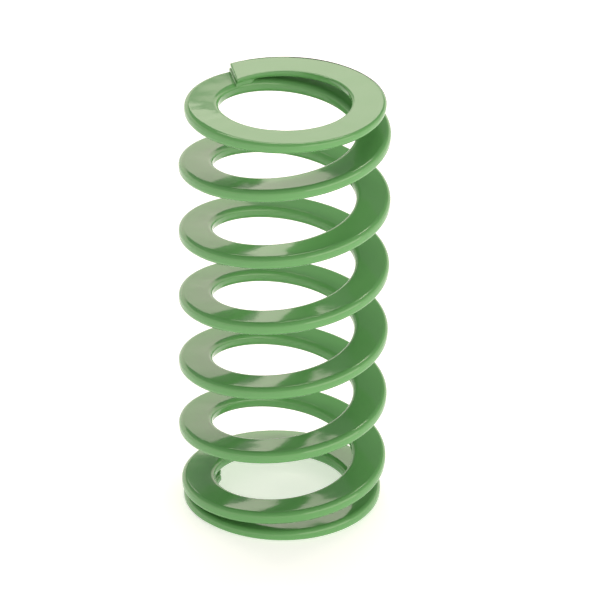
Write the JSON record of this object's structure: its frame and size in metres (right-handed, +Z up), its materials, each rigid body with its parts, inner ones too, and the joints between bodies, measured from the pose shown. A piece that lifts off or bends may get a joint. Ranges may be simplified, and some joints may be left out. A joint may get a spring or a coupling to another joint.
{
  "type": "coil compression spring",
  "caption": "Flat-wire die spring: open working turns between two closed, ground end turns, painted green, pressed together along its axis.",
  "frame": {"origin": "middle of the lower ground face, on the coil's axis", "axes": "+Z up the coil's axis; -Y is the front, and the two cut tips lie at the back left"},
  "size_m": [0.0596, 0.0596, 0.1255],
  "materials": {
    "green_enamel": "gloss green enamel over spring steel, rounded at the wire's corners"
  },
  "bodies": {
    "lower_end_turn": {"lower_end_turn": "green_enamel"},
    "turn_2_front": {"turn_2_front": "green_enamel"},
    "turn_2_front_right": {"turn_2_front_right": "green_enamel"},
    "turn_2_right": {"turn_2_right": "green_enamel"},
    "turn_2_back_right": {"turn_2_back_right": "green_enamel"},
    "turn_2_back": {"turn_2_back": "green_enamel"},
    "turn_2_back_left": {"turn_2_back_left": "green_enamel"},
    "turn_2_left": {"turn_2_left": "green_enamel"},
    "turn_2_front_left": {"turn_2_front_left": "green_enamel"},
    "turn_3_front": {"turn_3_front": "green_enamel"},
    "turn_3_front_right": {"turn_3_front_right": "green_enamel"},
    "turn_3_right": {"turn_3_right": "green_enamel"},
    "turn_3_back_right": {"turn_3_back_right": "green_enamel"},
    "turn_3_back": {"turn_3_back": "green_enamel"},
    "turn_3_back_left": {"turn_3_back_left": "green_enamel"},
    "turn_3_left": {"turn_3_left": "green_enamel"},
    "turn_3_front_left": {"turn_3_front_left": "green_enamel"},
    "turn_4_front": {"turn_4_front": "green_enamel"},
    "turn_4_front_right": {"turn_4_front_right": "green_enamel"},
    "turn_4_right": {"turn_4_right": "green_enamel"},
    "turn_4_back_right": {"turn_4_back_right": "green_enamel"},
    "turn_4_back": {"turn_4_back": "green_enamel"},
    "turn_4_back_left": {"turn_4_back_left": "green_enamel"},
    "turn_4_left": {"turn_4_left": "green_enamel"},
    "turn_4_front_left": {"turn_4_front_left": "green_enamel"},
    "turn_5_front": {"turn_5_front": "green_enamel"},
    "turn_5_front_right": {"turn_5_front_right": "green_enamel"},
    "turn_5_right": {"turn_5_right": "green_enamel"},
    "turn_5_back_right": {"turn_5_back_right": "green_enamel"},
    "turn_5_back": {"turn_5_back": "green_enamel"},
    "turn_5_back_left": {"turn_5_back_left": "green_enamel"},
    "turn_5_left": {"turn_5_left": "green_enamel"},
    "turn_5_front_left": {"turn_5_front_left": "green_enamel"},
    "turn_6_front": {"turn_6_front": "green_enamel"},
    "turn_6_front_right": {"turn_6_front_right": "green_enamel"},
    "turn_6_right": {"turn_6_right": "green_enamel"},
    "turn_6_back_right": {"turn_6_back_right": "green_enamel"},
    "turn_6_back": {"turn_6_back": "green_enamel"},
    "turn_6_back_left": {"turn_6_back_left": "green_enamel"},
    "turn_6_left": {"turn_6_left": "green_enamel"},
    "turn_6_front_left": {"turn_6_front_left": "green_enamel"},
    "turn_7_front": {"turn_7_front": "green_enamel"},
    "turn_7_front_right": {"turn_7_front_right": "green_enamel"},
    "turn_7_right": {"turn_7_right": "green_enamel"},
    "upper_end_turn": {"upper_end_turn": "green_enamel"}
  },
  "joints": [
    {"name": "compress", "type": "slide", "parent": "lower_end_turn", "child": "upper_end_turn", "axis": [0, 0, 1], "range_m": [-0.0625, 0], "stiffness_N_per_m": 17981},
    {"name": "turn_2_front_slide", "type": "slide", "parent": "lower_end_turn", "child": "turn_2_front", "axis": [0, 0, 1], "range_m": [-0.00049199, 0], "stiffness_N_per_m": 800, "springref_m": 0.00354},
    {"name": "turn_2_front_right_slide", "type": "slide", "parent": "turn_2_front", "child": "turn_2_front_right", "axis": [0, 0, 1], "range_m": [-0.00116, 0], "stiffness_N_per_m": 800, "springref_m": 0.00346},
    {"name": "turn_2_right_slide", "type": "slide", "parent": "turn_2_front_right", "child": "turn_2_right", "axis": [0, 0, 1], "range_m": [-0.00135, 0], "stiffness_N_per_m": 800, "springref_m": 0.00338},
    {"name": "turn_2_back_right_slide", "type": "slide", "parent": "turn_2_right", "child": "turn_2_back_right", "axis": [0, 0, 1], "range_m": [-0.00145, 0], "stiffness_N_per_m": 800, "springref_m": 0.0033},
    {"name": "turn_2_back_slide", "type": "slide", "parent": "turn_2_back_right", "child": "turn_2_back", "axis": [0, 0, 1], "range_m": [-0.00147, 0], "stiffness_N_per_m": 800, "springref_m": 0.00321},
    {"name": "turn_2_back_left_slide", "type": "slide", "parent": "turn_2_back", "child": "turn_2_back_left", "axis": [0, 0, 1], "range_m": [-0.00147, 0], "stiffness_N_per_m": 800, "springref_m": 0.00313},
    {"name": "turn_2_left_slide", "type": "slide", "parent": "turn_2_back_left", "child": "turn_2_left", "axis": [0, 0, 1], "range_m": [-0.00147, 0], "stiffness_N_per_m": 800, "springref_m": 0.00305},
    {"name": "turn_2_front_left_slide", "type": "slide", "parent": "turn_2_left", "child": "turn_2_front_left", "axis": [0, 0, 1], "range_m": [-0.00147, 0], "stiffness_N_per_m": 800, "springref_m": 0.00297},
    {"name": "turn_3_front_slide", "type": "slide", "parent": "turn_2_front_left", "child": "turn_3_front", "axis": [0, 0, 1], "range_m": [-0.00147, 0], "stiffness_N_per_m": 800, "springref_m": 0.00288},
    {"name": "turn_3_front_right_slide", "type": "slide", "parent": "turn_3_front", "child": "turn_3_front_right", "axis": [0, 0, 1], "range_m": [-0.00147, 0], "stiffness_N_per_m": 800, "springref_m": 0.0028},
    {"name": "turn_3_right_slide", "type": "slide", "parent": "turn_3_front_right", "child": "turn_3_right", "axis": [0, 0, 1], "range_m": [-0.00147, 0], "stiffness_N_per_m": 800, "springref_m": 0.00272},
    {"name": "turn_3_back_right_slide", "type": "slide", "parent": "turn_3_right", "child": "turn_3_back_right", "axis": [0, 0, 1], "range_m": [-0.00147, 0], "stiffness_N_per_m": 800, "springref_m": 0.00264},
    {"name": "turn_3_back_slide", "type": "slide", "parent": "turn_3_back_right", "child": "turn_3_back", "axis": [0, 0, 1], "range_m": [-0.00147, 0], "stiffness_N_per_m": 800, "springref_m": 0.00255},
    {"name": "turn_3_back_left_slide", "type": "slide", "parent": "turn_3_back", "child": "turn_3_back_left", "axis": [0, 0, 1], "range_m": [-0.00147, 0], "stiffness_N_per_m": 800, "springref_m": 0.00247},
    {"name": "turn_3_left_slide", "type": "slide", "parent": "turn_3_back_left", "child": "turn_3_left", "axis": [0, 0, 1], "range_m": [-0.00147, 0], "stiffness_N_per_m": 800, "springref_m": 0.00239},
    {"name": "turn_3_front_left_slide", "type": "slide", "parent": "turn_3_left", "child": "turn_3_front_left", "axis": [0, 0, 1], "range_m": [-0.00147, 0], "stiffness_N_per_m": 800, "springref_m": 0.00231},
    {"name": "turn_4_front_slide", "type": "slide", "parent": "turn_3_front_left", "child": "turn_4_front", "axis": [0, 0, 1], "range_m": [-0.00147, 0], "stiffness_N_per_m": 800, "springref_m": 0.00222},
    {"name": "turn_4_front_right_slide", "type": "slide", "parent": "turn_4_front", "child": "turn_4_front_right", "axis": [0, 0, 1], "range_m": [-0.00147, 0], "stiffness_N_per_m": 800, "springref_m": 0.00214},
    {"name": "turn_4_right_slide", "type": "slide", "parent": "turn_4_front_right", "child": "turn_4_right", "axis": [0, 0, 1], "range_m": [-0.00147, 0], "stiffness_N_per_m": 800, "springref_m": 0.00206},
    {"name": "turn_4_back_right_slide", "type": "slide", "parent": "turn_4_right", "child": "turn_4_back_right", "axis": [0, 0, 1], "range_m": [-0.00147, 0], "stiffness_N_per_m": 800, "springref_m": 0.00198},
    {"name": "turn_4_back_slide", "type": "slide", "parent": "turn_4_back_right", "child": "turn_4_back", "axis": [0, 0, 1], "range_m": [-0.00147, 0], "stiffness_N_per_m": 800, "springref_m": 0.0019},
    {"name": "turn_4_back_left_slide", "type": "slide", "parent": "turn_4_back", "child": "turn_4_back_left", "axis": [0, 0, 1], "range_m": [-0.00147, 0], "stiffness_N_per_m": 800, "springref_m": 0.00181},
    {"name": "turn_4_left_slide", "type": "slide", "parent": "turn_4_back_left", "child": "turn_4_left", "axis": [0, 0, 1], "range_m": [-0.00147, 0], "stiffness_N_per_m": 800, "springref_m": 0.00173},
    {"name": "turn_4_front_left_slide", "type": "slide", "parent": "turn_4_left", "child": "turn_4_front_left", "axis": [0, 0, 1], "range_m": [-0.00147, 0], "stiffness_N_per_m": 800, "springref_m": 0.00165},
    {"name": "turn_5_front_slide", "type": "slide", "parent": "turn_4_front_left", "child": "turn_5_front", "axis": [0, 0, 1], "range_m": [-0.00147, 0], "stiffness_N_per_m": 800, "springref_m": 0.00157},
    {"name": "turn_5_front_right_slide", "type": "slide", "parent": "turn_5_front", "child": "turn_5_front_right", "axis": [0, 0, 1], "range_m": [-0.00147, 0], "stiffness_N_per_m": 800, "springref_m": 0.00148},
    {"name": "turn_5_right_slide", "type": "slide", "parent": "turn_5_front_right", "child": "turn_5_right", "axis": [0, 0, 1], "range_m": [-0.00147, 0], "stiffness_N_per_m": 800, "springref_m": 0.0014},
    {"name": "turn_5_back_right_slide", "type": "slide", "parent": "turn_5_right", "child": "turn_5_back_right", "axis": [0, 0, 1], "range_m": [-0.00147, 0], "stiffness_N_per_m": 800, "springref_m": 0.00132},
    {"name": "turn_5_back_slide", "type": "slide", "parent": "turn_5_back_right", "child": "turn_5_back", "axis": [0, 0, 1], "range_m": [-0.00147, 0], "stiffness_N_per_m": 800, "springref_m": 0.00124},
    {"name": "turn_5_back_left_slide", "type": "slide", "parent": "turn_5_back", "child": "turn_5_back_left", "axis": [0, 0, 1], "range_m": [-0.00147, 0], "stiffness_N_per_m": 800, "springref_m": 0.00115},
    {"name": "turn_5_left_slide", "type": "slide", "parent": "turn_5_back_left", "child": "turn_5_left", "axis": [0, 0, 1], "range_m": [-0.00147, 0], "stiffness_N_per_m": 800, "springref_m": 0.00107},
    {"name": "turn_5_front_left_slide", "type": "slide", "parent": "turn_5_left", "child": "turn_5_front_left", "axis": [0, 0, 1], "range_m": [-0.00147, 0], "stiffness_N_per_m": 800, "springref_m": 0.00099},
    {"name": "turn_6_front_slide", "type": "slide", "parent": "turn_5_front_left", "child": "turn_6_front", "axis": [0, 0, 1], "range_m": [-0.00147, 0], "stiffness_N_per_m": 800, "springref_m": 0.00091},
    {"name": "turn_6_front_right_slide", "type": "slide", "parent": "turn_6_front", "child": "turn_6_front_right", "axis": [0, 0, 1], "range_m": [-0.00147, 0], "stiffness_N_per_m": 800, "springref_m": 0.00082},
    {"name": "turn_6_right_slide", "type": "slide", "parent": "turn_6_front_right", "child": "turn_6_right", "axis": [0, 0, 1], "range_m": [-0.00147, 0], "stiffness_N_per_m": 800, "springref_m": 0.00074},
    {"name": "turn_6_back_right_slide", "type": "slide", "parent": "turn_6_right", "child": "turn_6_back_right", "axis": [0, 0, 1], "range_m": [-0.00147, 0], "stiffness_N_per_m": 800, "springref_m": 0.00066},
    {"name": "turn_6_back_slide", "type": "slide", "parent": "turn_6_back_right", "child": "turn_6_back", "axis": [0, 0, 1], "range_m": [-0.00147, 0], "stiffness_N_per_m": 800, "springref_m": 0.00058},
    {"name": "turn_6_back_left_slide", "type": "slide", "parent": "turn_6_back", "child": "turn_6_back_left", "axis": [0, 0, 1], "range_m": [-0.00147, 0], "stiffness_N_per_m": 800, "springref_m": 0.00049},
    {"name": "turn_6_left_slide", "type": "slide", "parent": "turn_6_back_left", "child": "turn_6_left", "axis": [0, 0, 1], "range_m": [-0.00147, 0], "stiffness_N_per_m": 800, "springref_m": 0.00041},
    {"name": "turn_6_front_left_slide", "type": "slide", "parent": "turn_6_left", "child": "turn_6_front_left", "axis": [0, 0, 1], "range_m": [-0.00147, 0], "stiffness_N_per_m": 800, "springref_m": 0.00033},
    {"name": "turn_7_front_slide", "type": "slide", "parent": "turn_6_front_left", "child": "turn_7_front", "axis": [0, 0, 1], "range_m": [-0.00147, 0], "stiffness_N_per_m": 800, "springref_m": 0.00025},
    {"name": "turn_7_front_right_slide", "type": "slide", "parent": "turn_7_front", "child": "turn_7_front_right", "axis": [0, 0, 1], "range_m": [-0.00147, 0], "stiffness_N_per_m": 800, "springref_m": 0.00016},
    {"name": "turn_7_right_slide", "type": "slide", "parent": "turn_7_front_right", "child": "turn_7_right", "axis": [0, 0, 1], "range_m": [-0.00218, 0], "stiffness_N_per_m": 800, "springref_m": 0.00008}
  ],
  "couplings": [
    {"joint": "turn_2_front_slide", "follows": "compress", "ratio": 0.0078718},
    {"joint": "turn_2_front_right_slide", "follows": "compress", "ratio": 0.018582},
    {"joint": "turn_2_right_slide", "follows": "compress", "ratio": 0.021596},
    {"joint": "turn_2_back_right_slide", "follows": "compress", "ratio": 0.023258},
    {"joint": "turn_2_back_slide", "follows": "compress", "ratio": 0.02352},
    {"joint": "turn_2_back_left_slide", "follows": "compress", "ratio": 0.02352},
    {"joint": "turn_2_left_slide", "follows": "compress", "ratio": 0.02352},
    {"joint": "turn_2_front_left_slide", "follows": "compress", "ratio": 0.02352},
    {"joint": "turn_3_front_slide", "follows": "compress", "ratio": 0.02352},
    {"joint": "turn_3_front_right_slide", "follows": "compress", "ratio": 0.02352},
    {"joint": "turn_3_right_slide", "follows": "compress", "ratio": 0.02352},
    {"joint": "turn_3_back_right_slide", "follows": "compress", "ratio": 0.02352},
    {"joint": "turn_3_back_slide", "follows": "compress", "ratio": 0.02352},
    {"joint": "turn_3_back_left_slide", "follows": "compress", "ratio": 0.02352},
    {"joint": "turn_3_left_slide", "follows": "compress", "ratio": 0.02352},
    {"joint": "turn_3_front_left_slide", "follows": "compress", "ratio": 0.02352},
    {"joint": "turn_4_front_slide", "follows": "compress", "ratio": 0.02352},
    {"joint": "turn_4_front_right_slide", "follows": "compress", "ratio": 0.02352},
    {"joint": "turn_4_right_slide", "follows": "compress", "ratio": 0.02352},
    {"joint": "turn_4_back_right_slide", "follows": "compress", "ratio": 0.02352},
    {"joint": "turn_4_back_slide", "follows": "compress", "ratio": 0.02352},
    {"joint": "turn_4_back_left_slide", "follows": "compress", "ratio": 0.02352},
    {"joint": "turn_4_left_slide", "follows": "compress", "ratio": 0.02352},
    {"joint": "turn_4_front_left_slide", "follows": "compress", "ratio": 0.02352},
    {"joint": "turn_5_front_slide", "follows": "compress", "ratio": 0.02352},
    {"joint": "turn_5_front_right_slide", "follows": "compress", "ratio": 0.02352},
    {"joint": "turn_5_right_slide", "follows": "compress", "ratio": 0.02352},
    {"joint": "turn_5_back_right_slide", "follows": "compress", "ratio": 0.02352},
    {"joint": "turn_5_back_slide", "follows": "compress", "ratio": 0.02352},
    {"joint": "turn_5_back_left_slide", "follows": "compress", "ratio": 0.02352},
    {"joint": "turn_5_left_slide", "follows": "compress", "ratio": 0.02352},
    {"joint": "turn_5_front_left_slide", "follows": "compress", "ratio": 0.02352},
    {"joint": "turn_6_front_slide", "follows": "compress", "ratio": 0.02352},
    {"joint": "turn_6_front_right_slide", "follows": "compress", "ratio": 0.02352},
    {"joint": "turn_6_right_slide", "follows": "compress", "ratio": 0.02352},
    {"joint": "turn_6_back_right_slide", "follows": "compress", "ratio": 0.02352},
    {"joint": "turn_6_back_slide", "follows": "compress", "ratio": 0.02352},
    {"joint": "turn_6_back_left_slide", "follows": "compress", "ratio": 0.02352},
    {"joint": "turn_6_left_slide", "follows": "compress", "ratio": 0.02352},
    {"joint": "turn_6_front_left_slide", "follows": "compress", "ratio": 0.02352},
    {"joint": "turn_7_front_slide", "follows": "compress", "ratio": 0.02352},
    {"joint": "turn_7_front_right_slide", "follows": "compress", "ratio": 0.02352},
    {"joint": "turn_7_right_slide", "follows": "compress", "ratio": 0.034928}
  ]
}
